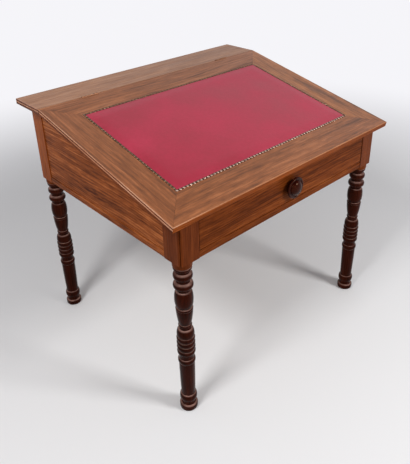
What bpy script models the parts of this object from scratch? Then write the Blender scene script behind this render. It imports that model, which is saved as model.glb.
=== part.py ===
"""Slant-front writing desk: turned legs, one drawer, and a hinged lid faced with leather.

Metres, +Z up. The front faces -Y. The origin is on the floor, under the middle of the desk.
"""
import math

import bmesh
import bpy
from mathutils import Vector

# Case
CASE_WIDTH = 0.900
CASE_DEPTH = 0.750
APRON_HEIGHT = 0.556
SHELF_HEIGHT = 0.850
LID_FRONT_HEIGHT = 0.708
POST_SIZE = 0.068
POST_CORNER_RADIUS = 0.011
POST_QUIRK_ANGLE = math.radians(9)
POST_QUIRK_DEPTH = 0.0035
POST_ARC_STEPS = 2
BOTTOM_RAIL_HEIGHT = 0.022
BOTTOM_RAIL_DEPTH = 0.045
TOP_RAIL_HEIGHT = 0.012
TOP_RAIL_DEPTH = 0.045
SIDE_RAIL_THICKNESS = 0.024
SIDE_PANEL_THICKNESS = 0.016
SIDE_PANEL_INSET = 0.003
BACK_PANEL_THICKNESS = 0.014
BACK_PANEL_INSET = 0.004
RAIL_INSET = 0.001
FLOOR_THICKNESS = 0.010
CLEAT_WIDTH = 0.020
CLEAT_HEIGHT = 0.018

# Top: rear shelf and sloping lid
TOP_THICKNESS = 0.018
TOP_OVERHANG_SIDE = 0.036
LID_OVERHANG_FRONT = 0.023
SHELF_OVERHANG_REAR = 0.016
SHELF_DEPTH = 0.152
FOLD_GAP = 0.0016
FOLD_RAIL_SETBACK = 0.003
FOLD_RAIL_THICKNESS = 0.022
FOLD_RAIL_HEIGHT = 0.040
LID_STILE_WIDTH = 0.099
LID_FRONT_RAIL_WIDTH = 0.104
LID_REAR_RAIL_WIDTH = 0.092
LEATHER_THICKNESS = 0.0016
LEATHER_PROUD = 0.0004
NAIL_PITCH = 0.0125
NAIL_RADIUS = 0.0046
NAIL_HEIGHT = 0.0024
NAIL_INSET = 0.0036
NAIL_WEB_WIDTH = 0.003
NAIL_WEB_HEIGHT = 0.0006

# Drawer
DRAWER_LENGTH = 0.560
DRAWER_FRONT_THICKNESS = 0.020
DRAWER_INSET = 0.001
DRAWER_GAP = 0.0015
DRAWER_RUN_GAP = 0.0003
DRAWER_SIDE_THICKNESS = 0.012
DRAWER_SIDE_DROP = 0.004
DRAWER_BACK_THICKNESS = 0.012
DRAWER_BOTTOM_THICKNESS = 0.006
DRAWER_BOTTOM_RISE = 0.008
DRAWER_GROOVE_DEPTH = 0.005
RUNNER_WIDTH = 0.036
RUNNER_THICKNESS = 0.018
GUIDE_SHARE = 0.30
STOP_SIZE = 0.022

# Knob, measured out from the drawer front
KNOB_RADIUS = 0.035
KNOB_PROJECTION = 0.032
KNOB_RIM_PROJECTION = 0.0195
KNOB_RIM_THICKNESS = 0.0085
KNOB_RIM_WIDTH = 0.006
KNOB_RIM_BAND = 0.0030
KNOB_DISH_DEPTH = 0.0025
KNOB_BOSS_RADIUS = 0.0245
KNOB_NECK_RADIUS = 0.0135
KNOB_FOOT_RADIUS = 0.019
KNOB_FOOT_THICKNESS = 0.003
KNOB_SPIGOT_RADIUS = 0.008
KNOB_SPIGOT_LENGTH = 0.018
KNOB_SEGMENTS = 20

# Hinges
HINGE_INSET = 0.087
HINGE_LENGTH = 0.060
HINGE_LEAF_THICKNESS = 0.0015
HINGE_LEAF_MARGIN = 0.004
KNUCKLE_RADIUS = 0.0030
KNUCKLE_COUNT = 5
PIN_RADIUS = 0.0014
SCREW_COUNT = 2
SCREW_HEAD_RADIUS = 0.0024
SCREW_SHANK_RADIUS = 0.0013
SCREW_LENGTH = 0.012
HINGE_SEGMENTS = 12
SCREW_SEGMENTS = 8

# Legs, turned, from the collar down to the foot
LEG_SEGMENTS = 16
BEAD_POINTS = 4
TENON_RADIUS = 0.015
TENON_LENGTH = 0.050
LEG_INSET = 0.030
COLLAR_HEIGHT = 0.020
COLLAR_RADIUS = 0.0285
COLLAR_ROUND = 0.006
REED_COUNT = 4
REED_PITCH = 0.0165
REED_RADIUS = 0.0276
REED_DEPTH = 0.0036
SHAFT_TOP_RADIUS = 0.0240
SHAFT_BOTTOM_RADIUS = 0.0214
FOOT_HEIGHT = 0.020
FOOT_RADIUS = 0.028
FOOT_ROUND = 0.005

# Turnings as rows of height, upper radius, lower radius and swelling between the two
TURNINGS_ABOVE_REEDS = (
    (0.009, 0.0245, 0.0240, 0.0028),
    (0.010, 0.0208, 0.0203, 0.0),
    (0.022, 0.0212, 0.0212, 0.0068),
    (0.010, 0.0198, 0.0198, 0.0),
    (0.021, 0.0215, 0.0220, 0.0073),
    (0.007, 0.0200, 0.0200, 0.0020),
    (0.003, 0.0190, 0.0190, 0.0),
    (0.054, 0.0215, 0.0222, 0.0057),
    (0.003, 0.0205, 0.0205, 0.0),
    (0.009, 0.0225, 0.0228, 0.0030),
    (0.052, 0.0245, 0.0178, 0.0018),
    (0.011, 0.0178, 0.0178, 0.0026),
    (0.007, 0.0176, 0.0176, 0.0),
    (0.028, 0.0200, 0.0235, 0.0042),
)
TURNINGS_BELOW_REEDS = (
    (0.017, 0.0235, 0.0230, 0.0),
    (0.019, 0.0222, 0.0222, 0.0042),
)
TURNINGS_UNDER_SHAFT = (
    (0.026, 0.0216, 0.0222, 0.0048),
    (0.015, 0.0214, 0.0222, 0.0),
)

# Clearances
CONTACT_GAP = 0.0003
JOINT_GAP = 0.0004
FIT_GAP = 0.0003
HINGE_GAP = 0.0004
CUT_MARGIN = 0.004
MERGE_DISTANCE = 0.000001
SMOOTH_ANGLE = math.radians(35)

# Places worked out from the sizes above
FRONT_REACH = max(KNOB_PROJECTION - DRAWER_INSET, LID_OVERHANG_FRONT)
FRONT_Y = FRONT_REACH - (FRONT_REACH + CASE_DEPTH + SHELF_OVERHANG_REAR) / 2
REAR_Y = FRONT_Y + CASE_DEPTH
HALF_CASE = CASE_WIDTH / 2
HALF_TOP = HALF_CASE + TOP_OVERHANG_SIDE
HALF_BAY = HALF_CASE - POST_SIZE
FRONT_BAY_Y = FRONT_Y + POST_SIZE
REAR_BAY_Y = REAR_Y - POST_SIZE
RAIL_TOP = APRON_HEIGHT + BOTTOM_RAIL_HEIGHT
SIDE_INNER = HALF_CASE - SIDE_PANEL_INSET - SIDE_PANEL_THICKNESS
BACK_INNER_Y = REAR_Y - BACK_PANEL_INSET - BACK_PANEL_THICKNESS
SHELF_UNDER = SHELF_HEIGHT - TOP_THICKNESS
FOLD_Y = REAR_Y + SHELF_OVERHANG_REAR - SHELF_DEPTH
LID_FRONT_Y = FRONT_Y - LID_OVERHANG_FRONT
LID_SLOPE = math.atan2(SHELF_HEIGHT - LID_FRONT_HEIGHT, FOLD_Y - LID_FRONT_Y)
LID_LENGTH = math.hypot(SHELF_HEIGHT - LID_FRONT_HEIGHT, FOLD_Y - LID_FRONT_Y)
HINGE_LEAF_HEIGHT = TOP_THICKNESS - HINGE_LEAF_MARGIN
HINGE_OFFSET = HALF_TOP - LID_STILE_WIDTH - HINGE_INSET


def lid_under(y):
    """Height of the lid's lower face over a place in the depth of the case."""
    return SHELF_HEIGHT - (FOLD_Y - y) * math.tan(LID_SLOPE) - TOP_THICKNESS / math.cos(LID_SLOPE)


def top_under(y):
    """Height that the case may reach under the lid or the shelf."""
    return min(lid_under(y), SHELF_UNDER) - CONTACT_GAP


TOP_RAIL_TOP = lid_under(FRONT_Y) - CONTACT_GAP
TOP_RAIL_BOTTOM = TOP_RAIL_TOP - TOP_RAIL_HEIGHT


def clear_scene():
    """Start from an empty scene."""
    for item in list(bpy.data.objects):
        bpy.data.objects.remove(item)


def finish(name, colour, roughness, metallic=0.0):
    """A plain material with the colour of one finish."""
    material = bpy.data.materials.new(name)
    material.use_nodes = True
    shader = material.node_tree.nodes["Principled BSDF"]
    shader.inputs["Base Color"].default_value = (*colour, 1.0)
    shader.inputs["Roughness"].default_value = roughness
    shader.inputs["Metallic"].default_value = metallic
    return material


def make_empty(name, location, parent=None, rotation=(0.0, 0.0, 0.0)):
    """An empty that carries the pieces of one moving body."""
    empty = bpy.data.objects.new(name, None)
    bpy.context.collection.objects.link(empty)
    empty.location = location
    empty.rotation_euler = rotation
    empty.parent = parent
    return empty


def make_piece(name, bm, material=None, parent=None, location=(0.0, 0.0, 0.0)):
    """Turn finished geometry into a named object, with its faces pointing out."""
    bm.normal_update()
    bmesh.ops.recalc_face_normals(bm, faces=bm.faces)
    mesh = bpy.data.meshes.new(name)
    bm.to_mesh(mesh)
    bm.free()
    if material:
        mesh.materials.append(material)
    piece = bpy.data.objects.new(name, mesh)
    bpy.context.collection.objects.link(piece)
    piece.parent = parent
    piece.location = location
    return piece


def make_cutter(name, bm, parent=None, location=(0.0, 0.0, 0.0)):
    """A helper that only shapes other pieces."""
    cutter = make_piece(name, bm, None, parent, location)
    cutter.hide_render = True
    cutter.display_type = "WIRE"
    return cutter


def cut(piece, cutter):
    """Take the cutter's volume out of a piece."""
    modifier = piece.modifiers.new(cutter.name, "BOOLEAN")
    modifier.operation = "DIFFERENCE"
    modifier.solver = "EXACT"
    modifier.object = cutter


def add_prism(bm, outline, axis, low, high):
    """Extrude an outline, drawn square to an axis, from low to high along that axis."""
    def place(u, v, w):
        return {"X": (w, u, v), "Y": (u, w, v), "Z": (u, v, w)}[axis]
    face = bm.faces.new([bm.verts.new(place(u, v, low)) for u, v in outline])
    swept = bmesh.ops.extrude_face_region(bm, geom=[face])["geom"]
    moved = [item for item in swept if isinstance(item, bmesh.types.BMVert)]
    bmesh.ops.translate(bm, verts=moved, vec=Vector(place(0.0, 0.0, high - low)))


def prism(name, outline, axis, low, high, material, parent=None):
    """One extruded piece."""
    bm = bmesh.new()
    add_prism(bm, outline, axis, low, high)
    return make_piece(name, bm, material, parent)


def add_box(bm, low, high):
    """A box between two corners."""
    outline = ((low[0], low[1]), (high[0], low[1]), (high[0], high[1]), (low[0], high[1]))
    add_prism(bm, outline, "Z", low[2], high[2])


def board(name, low, high, material, parent=None):
    """One rectangular piece between two corners."""
    bm = bmesh.new()
    add_box(bm, low, high)
    return make_piece(name, bm, material, parent)


def add_turned(bm, profile, segments):
    """Spin a profile of radius and height about Z."""
    points = [bm.verts.new((radius, 0.0, height)) for radius, height in profile]
    edges = [bm.edges.new(pair) for pair in zip(points, points[1:])]
    bmesh.ops.spin(
        bm, geom=points + edges, cent=(0.0, 0.0, 0.0), axis=(0.0, 0.0, 1.0),
        angle=2 * math.pi, steps=segments, use_merge=True,
    )
    bmesh.ops.remove_doubles(bm, verts=bm.verts, dist=MERGE_DISTANCE)


def add_rod(bm, radius, start, end, segments):
    """A straight round bar between two points on one axis."""
    start = Vector(start)
    along = Vector(end) - start
    made = bmesh.ops.create_cone(
        bm, cap_ends=True, segments=segments, radius1=radius, radius2=radius, depth=along.length,
    )["verts"]
    bmesh.ops.translate(bm, verts=made, vec=(0.0, 0.0, along.length / 2))
    turn = Vector((0.0, 0.0, 1.0)).rotation_difference(along).to_matrix()
    bmesh.ops.rotate(bm, verts=made, cent=(0.0, 0.0, 0.0), matrix=turn)
    bmesh.ops.translate(bm, verts=made, vec=start)


def shade_round(piece):
    """Smooth the round faces of a turned piece."""
    piece.data.shade_smooth()
    piece.data.set_sharp_from_angle(angle=SMOOTH_ANGLE)


def turning(top, row):
    """Points of one turning, from its top down."""
    height, upper, lower, swelling = row
    if swelling == 0.0:
        return [(upper, top), (lower, top - height)]
    points = []
    for index in range(BEAD_POINTS):
        angle = math.pi * index / (BEAD_POINTS - 1)
        share = (1 - math.cos(angle)) / 2
        points.append((upper + (lower - upper) * share + swelling * math.sin(angle), top - height * share))
    return points


def leg_profile():
    """Profile of a leg from the top of its tenon to the floor."""
    top = APRON_HEIGHT - CONTACT_GAP
    profile = [(0.0, top + TENON_LENGTH), (TENON_RADIUS, top + TENON_LENGTH), (TENON_RADIUS, top)]
    collar_low = APRON_HEIGHT - COLLAR_HEIGHT
    profile += [(COLLAR_RADIUS, top), (COLLAR_RADIUS, collar_low + COLLAR_ROUND)]
    profile += [(COLLAR_RADIUS - COLLAR_ROUND, collar_low)]
    height = collar_low
    reed = (REED_PITCH, REED_RADIUS - REED_DEPTH, REED_RADIUS - REED_DEPTH, REED_DEPTH)
    rows = TURNINGS_ABOVE_REEDS + (reed,) * REED_COUNT + TURNINGS_BELOW_REEDS
    low_part = FOOT_HEIGHT + sum(row[0] for row in TURNINGS_UNDER_SHAFT)
    shaft_height = collar_low - sum(row[0] for row in rows) - low_part
    shaft = (shaft_height, SHAFT_TOP_RADIUS, SHAFT_BOTTOM_RADIUS, 0.0)
    for row in rows + (shaft,) + TURNINGS_UNDER_SHAFT:
        for point in turning(height, row):
            if point != profile[-1]:
                profile.append(point)
        height -= row[0]
    profile += [(FOOT_RADIUS - FOOT_ROUND, FOOT_HEIGHT), (FOOT_RADIUS, FOOT_HEIGHT - FOOT_ROUND)]
    profile += [(FOOT_RADIUS, FOOT_ROUND), (FOOT_RADIUS - FOOT_ROUND, 0.0), (0.0, 0.0)]
    return profile


def post_outline(side, end):
    """Plan of a post: a square whose outer corner is rounded and split by a quirk."""
    outer_x = side * HALF_CASE
    outer_y = REAR_Y if end > 0 else FRONT_Y
    radius = POST_CORNER_RADIUS
    quirk = radius * (1 - math.sqrt(0.5)) + POST_QUIRK_DEPTH * math.sqrt(0.5)
    step = (math.pi / 4 - POST_QUIRK_ANGLE) / POST_ARC_STEPS
    angles = [step * index for index in range(POST_ARC_STEPS + 1)]
    arc = [(radius - radius * math.sin(angle), radius - radius * math.cos(angle)) for angle in angles]
    corner = arc + [(quirk, quirk)] + [(v, u) for u, v in reversed(arc)]
    inset = corner + [(0.0, POST_SIZE), (POST_SIZE, POST_SIZE), (POST_SIZE, 0.0)]
    return [(outer_x - side * u, outer_y - end * v) for u, v in inset]


def make_corner(side, end, name, post_material, leg_material):
    """A post under the top and the turned leg that is dowelled into it."""
    centre = (side * (HALF_CASE - LEG_INSET), (REAR_Y if end > 0 else FRONT_Y) - end * LEG_INSET)
    bm = bmesh.new()
    add_prism(bm, post_outline(side, end), "Z", APRON_HEIGHT, SHELF_HEIGHT)
    middle_height = (APRON_HEIGHT + SHELF_HEIGHT) / 2
    for vert in bm.verts:
        if vert.co.z > middle_height:
            vert.co.z = top_under(vert.co.y)
    post = make_piece("corner_post_" + name, bm, post_material)
    bm = bmesh.new()
    bore_start = (*centre, APRON_HEIGHT - CUT_MARGIN)
    bore_end = (*centre, APRON_HEIGHT + TENON_LENGTH + FIT_GAP)
    add_rod(bm, TENON_RADIUS + FIT_GAP, bore_start, bore_end, LEG_SEGMENTS)
    cut(post, make_cutter("tenon_bore_" + name, bm))
    bm = bmesh.new()
    add_turned(bm, leg_profile(), LEG_SEGMENTS)
    leg = make_piece("turned_leg_" + name, bm, leg_material, None, (*centre, 0.0))
    shade_round(leg)


def side_bounds(side, outer, inner):
    """Lower and upper X of a piece between two distances from the middle."""
    return tuple(sorted((side * outer, side * inner)))


def make_case_side(side, name, wood, inner_wood):
    """Panel, bottom rail, and the strips fixed inside one side of the case."""
    near = FRONT_BAY_Y + JOINT_GAP
    far = REAR_BAY_Y - JOINT_GAP
    outline = [(near, RAIL_TOP + CONTACT_GAP), (far, RAIL_TOP + CONTACT_GAP), (far, top_under(far))]
    if near < FOLD_Y < far:
        outline.append((FOLD_Y, top_under(FOLD_Y)))
    outline.append((near, top_under(near)))
    low, high = side_bounds(side, HALF_CASE - SIDE_PANEL_INSET, SIDE_INNER)
    prism("side_panel_" + name, outline, "X", low, high, wood)

    low, high = side_bounds(side, HALF_CASE - RAIL_INSET, HALF_CASE - RAIL_INSET - SIDE_RAIL_THICKNESS)
    board("side_rail_" + name, (low, near, APRON_HEIGHT), (high, far, RAIL_TOP), wood)

    low, high = side_bounds(side, SIDE_INNER - JOINT_GAP, SIDE_INNER - JOINT_GAP - CLEAT_WIDTH)
    cleat_top = TOP_RAIL_BOTTOM - CONTACT_GAP
    board("floor_cleat_" + name, (low, near, cleat_top - CLEAT_HEIGHT), (high, far, cleat_top), inner_wood)

    low, high = side_bounds(side, SIDE_INNER - JOINT_GAP, HALF_BAY)
    guide_low = RAIL_TOP + CONTACT_GAP
    guide_top = guide_low + GUIDE_SHARE * (TOP_RAIL_BOTTOM - RAIL_TOP)
    board("drawer_guide_" + name, (low, near, guide_low), (high, far, guide_top), inner_wood)

    low, high = side_bounds(side, HALF_BAY - JOINT_GAP, HALF_BAY - JOINT_GAP - RUNNER_WIDTH)
    run_near = FRONT_Y + RAIL_INSET + BOTTOM_RAIL_DEPTH + JOINT_GAP
    run_far = REAR_Y - RAIL_INSET - BOTTOM_RAIL_DEPTH - JOINT_GAP
    run_low = RAIL_TOP - RUNNER_THICKNESS
    board("drawer_runner_" + name, (low, run_near, run_low), (high, run_far, RAIL_TOP), inner_wood)

    stop_near = FRONT_Y + DRAWER_INSET + DRAWER_LENGTH + CONTACT_GAP
    low, high = side_bounds(side, HALF_BAY - DRAWER_GAP, HALF_BAY - DRAWER_GAP - STOP_SIZE)
    stop_low = RAIL_TOP + CONTACT_GAP
    board(
        "drawer_stop_" + name, (low, stop_near, stop_low),
        (high, stop_near + STOP_SIZE, stop_low + STOP_SIZE), inner_wood,
    )


def make_case_middle(wood, inner_wood):
    """Rails, back, compartment floor and fold rail between the two sides."""
    half = HALF_BAY - JOINT_GAP
    face = FRONT_Y + RAIL_INSET
    board("front_bottom_rail", (-half, face, APRON_HEIGHT), (half, face + BOTTOM_RAIL_DEPTH, RAIL_TOP), wood)
    top_rail_back = face + TOP_RAIL_DEPTH
    board("front_top_rail", (-half, face, TOP_RAIL_BOTTOM), (half, top_rail_back, TOP_RAIL_TOP), wood)
    back_face = REAR_Y - RAIL_INSET
    rail_low = (-half, back_face - BOTTOM_RAIL_DEPTH, APRON_HEIGHT)
    board("back_bottom_rail", rail_low, (half, back_face, RAIL_TOP), wood)
    back_low = (-half, BACK_INNER_Y, RAIL_TOP + CONTACT_GAP)
    back_high = (half, BACK_INNER_Y + BACK_PANEL_THICKNESS, SHELF_UNDER - CONTACT_GAP)
    board("back_panel", back_low, back_high, inner_wood)

    wide = SIDE_INNER - JOINT_GAP
    near = FRONT_BAY_Y + JOINT_GAP
    far = REAR_BAY_Y - JOINT_GAP
    rows = (
        (top_rail_back + JOINT_GAP, half), (near, half), (near, wide),
        (far, wide), (far, half), (BACK_INNER_Y - JOINT_GAP, half),
    )
    outline = [(x, y) for y, x in rows] + [(-x, y) for y, x in reversed(rows)]
    prism("compartment_floor", outline, "Z", TOP_RAIL_BOTTOM, TOP_RAIL_BOTTOM + FLOOR_THICKNESS, inner_wood)

    fold_near = FOLD_Y + FOLD_RAIL_SETBACK
    fold_top = SHELF_UNDER - CONTACT_GAP
    fold_low = (-wide, fold_near, fold_top - FOLD_RAIL_HEIGHT)
    board("fold_rail", fold_low, (wide, fold_near + FOLD_RAIL_THICKNESS, fold_top), wood)


def add_hinge_recess(bm, offset, facing):
    """Mortise for one hinge leaf and the knuckle over it, drawn about the hinge axis."""
    edge = -facing * CUT_MARGIN
    leaf_back = facing * (HINGE_GAP + HINGE_LEAF_THICKNESS + FIT_GAP)
    knuckle_back = facing * (KNUCKLE_RADIUS + HINGE_GAP)
    knuckle_low = -KNUCKLE_RADIUS - HINGE_GAP
    leaf_low = -HINGE_LEAF_HEIGHT - FIT_GAP
    outline = (
        (edge, leaf_low), (leaf_back, leaf_low), (leaf_back, knuckle_low),
        (knuckle_back, knuckle_low), (knuckle_back, CUT_MARGIN), (edge, CUT_MARGIN),
    )
    half = HINGE_LENGTH / 2 + FIT_GAP
    add_prism(bm, outline, "X", offset - half, offset + half)


def screw_places(offset):
    """Places of the screws along one hinge leaf."""
    step = HINGE_LENGTH / SCREW_COUNT
    return [offset + step * (index - (SCREW_COUNT - 1) / 2) for index in range(SCREW_COUNT)]


def screw_height():
    """Height of the screws under the hinge axis."""
    return -(KNUCKLE_RADIUS + HINGE_GAP + HINGE_LEAF_HEIGHT) / 2


def add_screw_holes(bm, offset, facing, radius, reach):
    """Round cuts for the screws of one leaf."""
    for x in screw_places(offset):
        start = (x, -facing * CUT_MARGIN, screw_height())
        add_rod(bm, radius, start, (x, facing * reach, screw_height()), SCREW_SEGMENTS)


def cut_hinge_seats(piece, facing, axis_place, parent, name):
    """Let both hinges and their screws into the edge of one board."""
    recess = bmesh.new()
    holes = bmesh.new()
    shank_end = HINGE_GAP + HINGE_LEAF_THICKNESS + SCREW_LENGTH + FIT_GAP
    for offset in (-HINGE_OFFSET, HINGE_OFFSET):
        add_hinge_recess(recess, offset, facing)
        add_screw_holes(holes, offset, facing, SCREW_SHANK_RADIUS + FIT_GAP, shank_end)
    cut(piece, make_cutter("hinge_mortises_" + name, recess, parent, axis_place))
    cut(piece, make_cutter("screw_pilots_" + name, holes, parent, axis_place))


def leaf_outline(facing):
    """Section of a leaf: a round knuckle with a flat stem under it."""
    near = HINGE_GAP
    far = HINGE_GAP + HINGE_LEAF_THICKNESS
    start = math.asin(far / KNUCKLE_RADIUS)
    end = 2 * math.pi + math.asin(near / KNUCKLE_RADIUS)
    outline = []
    for index in range(HINGE_SEGMENTS + 1):
        angle = start + (end - start) * index / HINGE_SEGMENTS
        outline.append((facing * KNUCKLE_RADIUS * math.sin(angle), -KNUCKLE_RADIUS * math.cos(angle)))
    return outline + [(facing * near, -HINGE_LEAF_HEIGHT), (facing * far, -HINGE_LEAF_HEIGHT)]


def make_leaf(name, offset, facing, brass, parent, axis_place):
    """One hinge leaf, with every other knuckle cut away for the leaf it meets."""
    bm = bmesh.new()
    half = HINGE_LENGTH / 2
    add_prism(bm, leaf_outline(facing), "X", offset - half, offset + half)
    leaf = make_piece(name, bm, brass, parent, axis_place)
    gaps = bmesh.new()
    pitch = HINGE_LENGTH / KNUCKLE_COUNT
    wide = KNUCKLE_RADIUS + CUT_MARGIN
    for index in range(KNUCKLE_COUNT):
        if index % 2 != (1 if facing > 0 else 0):
            continue
        start = offset - half + pitch * index - HINGE_GAP / 2
        end = offset - half + pitch * (index + 1) + HINGE_GAP / 2
        start -= CUT_MARGIN if index == 0 else 0.0
        end += CUT_MARGIN if index == KNUCKLE_COUNT - 1 else 0.0
        add_box(gaps, (start, -wide, -KNUCKLE_RADIUS - HINGE_GAP), (end, wide, wide))
    cut(leaf, make_cutter(name + "_gaps", gaps, parent, axis_place))
    holes = bmesh.new()
    pin_start = (offset - half - CUT_MARGIN, 0.0, 0.0)
    add_rod(holes, PIN_RADIUS + FIT_GAP, pin_start, (offset + half + CUT_MARGIN, 0.0, 0.0), HINGE_SEGMENTS)
    reach = HINGE_GAP + HINGE_LEAF_THICKNESS + CUT_MARGIN
    add_screw_holes(holes, offset, facing, SCREW_HEAD_RADIUS + FIT_GAP, reach)
    cut(leaf, make_cutter(name + "_holes", holes, parent, axis_place))


def make_screws(name, offset, facing, brass, parent, axis_place):
    """The wood screws of one leaf, each a head let into the leaf and a shank in the wood."""
    head_back = HINGE_GAP + HINGE_LEAF_THICKNESS
    for index, x in enumerate(screw_places(offset)):
        profile = [(0.0, HINGE_GAP), (SCREW_HEAD_RADIUS, HINGE_GAP), (SCREW_HEAD_RADIUS, head_back)]
        profile += [(SCREW_SHANK_RADIUS, head_back), (SCREW_SHANK_RADIUS, head_back + SCREW_LENGTH)]
        bm = bmesh.new()
        add_turned(bm, profile + [(0.0, head_back + SCREW_LENGTH)], SCREW_SEGMENTS)
        for vert in bm.verts:
            across, over, along = vert.co
            vert.co = (x + across, facing * along, screw_height() + over)
        make_piece(f"{name}_{index + 1}", bm, brass, parent, axis_place)


def make_hinges(brass, lid_axis):
    """Two butt hinges along the fold, with their pins and screws."""
    axis_place = (0.0, FOLD_Y, SHELF_HEIGHT)
    own_place = (0.0, 0.0, 0.0)
    for offset, name in ((-HINGE_OFFSET, "left"), (HINGE_OFFSET, "right")):
        make_leaf("hinge_case_leaf_" + name, offset, 1, brass, None, axis_place)
        make_leaf("hinge_lid_leaf_" + name, offset, -1, brass, lid_axis, own_place)
        bm = bmesh.new()
        half = HINGE_LENGTH / 2
        add_rod(bm, PIN_RADIUS, (offset - half, 0.0, 0.0), (offset + half, 0.0, 0.0), HINGE_SEGMENTS)
        make_piece("hinge_pin_" + name, bm, brass, None, axis_place)
        make_screws("hinge_screw_case_" + name, offset, 1, brass, None, axis_place)
        make_screws("hinge_screw_lid_" + name, offset, -1, brass, lid_axis, own_place)


def make_shelf(wood):
    """Flat rear shelf, with both hinges let into its front edge."""
    low = (-HALF_TOP, FOLD_Y + FOLD_GAP / 2, SHELF_UNDER)
    shelf = board("rear_shelf", low, (HALF_TOP, REAR_Y + SHELF_OVERHANG_REAR, SHELF_HEIGHT), wood)
    cut_hinge_seats(shelf, 1, (0.0, FOLD_Y, SHELF_HEIGHT), None, "shelf")


def make_lid(wood, inner_wood, leather, brass, lid_axis, lid_plane):
    """Mitred frame, core panel, leather and nails, drawn flat under the lid's own plane."""
    far = -FOLD_GAP / 2 / math.cos(LID_SLOPE)
    near = -LID_LENGTH
    inner_half = HALF_TOP - LID_STILE_WIDTH
    inner_near = near + LID_FRONT_RAIL_WIDTH
    inner_far = far - LID_REAR_RAIL_WIDTH
    clear = JOINT_GAP

    front = ((-HALF_TOP + clear, near), (HALF_TOP - clear, near))
    front += ((inner_half - clear, inner_near), (-inner_half + clear, inner_near))
    prism("lid_frame_front", front, "Z", -TOP_THICKNESS, 0.0, wood, lid_plane)
    rear = ((-HALF_TOP + clear, far), (HALF_TOP - clear, far))
    rear += ((inner_half - clear, inner_far), (-inner_half + clear, inner_far))
    rear_rail = prism("lid_frame_rear", rear, "Z", -TOP_THICKNESS, 0.0, wood, lid_plane)
    stiles = []
    for side, name in ((-1, "left"), (1, "right")):
        outline = [(HALF_TOP, near), (HALF_TOP, far), (inner_half, inner_far), (inner_half, inner_near)]
        outline = [(side * x, y) for x, y in outline]
        stiles.append(prism("lid_frame_" + name, outline, "Z", -TOP_THICKNESS, 0.0, wood, lid_plane))

    trim = bmesh.new()
    wide = HALF_TOP + CUT_MARGIN
    trim_low = (-wide, -FOLD_GAP / 2, -TOP_THICKNESS - CUT_MARGIN)
    add_box(trim, trim_low, (wide, TOP_THICKNESS, CUT_MARGIN))
    fold_trim = make_cutter("fold_trim", trim, lid_axis)
    for member in stiles + [rear_rail]:
        cut(member, fold_trim)
    cut_hinge_seats(rear_rail, -1, (0.0, 0.0, 0.0), lid_axis, "lid")

    leather_low = LEATHER_PROUD - LEATHER_THICKNESS
    panel_low = (-inner_half + clear, inner_near + clear, -TOP_THICKNESS)
    panel_high = (inner_half - clear, inner_far - clear, leather_low - CONTACT_GAP)
    board("lid_panel", panel_low, panel_high, inner_wood, lid_plane)
    skin_low = (-inner_half + clear, inner_near + clear, leather_low)
    skin_high = (inner_half - clear, inner_far - clear, LEATHER_PROUD)
    board("leather_panel", skin_low, skin_high, leather, lid_plane)

    half = inner_half - NAIL_INSET
    nails = nail_row(half, inner_near + NAIL_INSET, inner_far - NAIL_INSET)
    make_piece("leather_nails", nails, brass, lid_plane)


def nail_row(half, near, far):
    """Nail heads in a row round the leather, joined by a thin web into one strip."""
    across = round(2 * half / NAIL_PITCH)
    along = round((far - near) / NAIL_PITCH)
    corners = ((-half, near), (half, near), (half, far), (-half, far))
    outward = (Vector((0.0, -1.0)), Vector((1.0, 0.0)), Vector((0.0, 1.0)), Vector((-1.0, 0.0)))
    base = LEATHER_PROUD + CONTACT_GAP
    bm = bmesh.new()
    rings = []
    for side, count in enumerate((across, along, across, along)):
        start = Vector(corners[side])
        end = Vector(corners[(side + 1) % 4])
        for index in range(2 * count):
            place = start.lerp(end, index / (2 * count))
            out = outward[side] if index else (outward[side] + outward[side - 1]).normalized()
            is_head = index % 2 == 0
            reach = out * (NAIL_RADIUS if is_head else NAIL_WEB_WIDTH / 2)
            top = base + (NAIL_HEIGHT if is_head else NAIL_WEB_HEIGHT)
            points = ((*(place + reach), base), (*place, top), (*(place - reach), base))
            rings.append([bm.verts.new(point) for point in points])
    for ring, following in zip(rings, rings[1:] + rings[:1]):
        for index in range(3):
            after = (index + 1) % 3
            bm.faces.new((ring[index], ring[after], following[after], following[index]))
    return bm


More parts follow.
